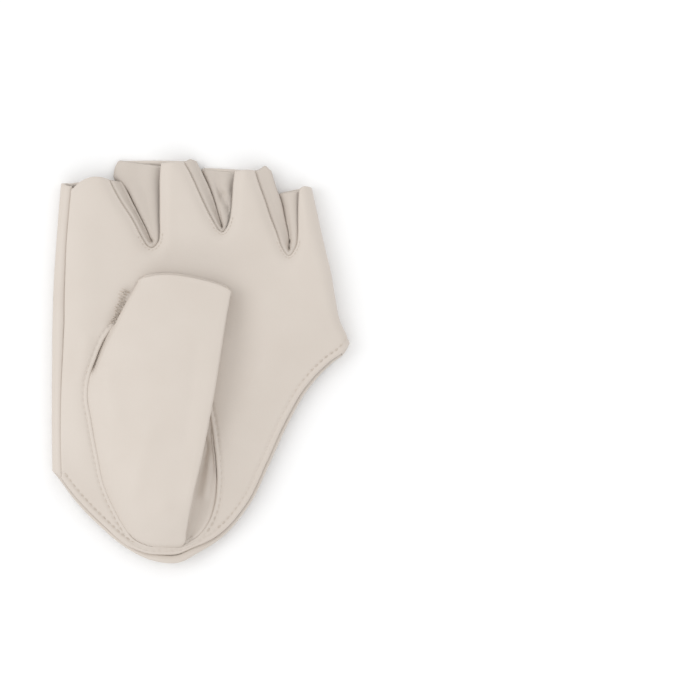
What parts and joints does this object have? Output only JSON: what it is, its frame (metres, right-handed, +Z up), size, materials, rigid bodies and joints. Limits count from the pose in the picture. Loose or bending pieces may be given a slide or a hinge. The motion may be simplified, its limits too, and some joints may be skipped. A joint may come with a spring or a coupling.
{
  "type": "fingerless leather glove",
  "caption": "Short fingerless glove of smooth cream leather for the left hand, lying palm up with its open thumb folded over the palm.",
  "frame": {"origin": "on the surface that the glove lies on, under the middle of its bounding box", "axes": "+Z up from the back of the glove to its palm, +Y towards the fingers, +X towards the little finger"},
  "size_m": [0.1122, 0.1526, 0.0219],
  "materials": {
    "palm_leather": "smooth cream glove leather, fine grain, satin",
    "back_leather": "smooth cream glove leather, fine grain, satin",
    "thumb_leather": "smooth cream glove leather, fine grain, satin",
    "fourchette_leather": "smooth cream glove leather, fine grain, satin"
  },
  "bodies": {
    "root": {"palm_panel": "palm_leather", "back_panel": "back_leather", "thumb": "thumb_leather", "fourchette_index_middle": "fourchette_leather", "fourchette_middle_ring": "fourchette_leather", "fourchette_ring_little": "fourchette_leather"}
  },
  "joints": []
}
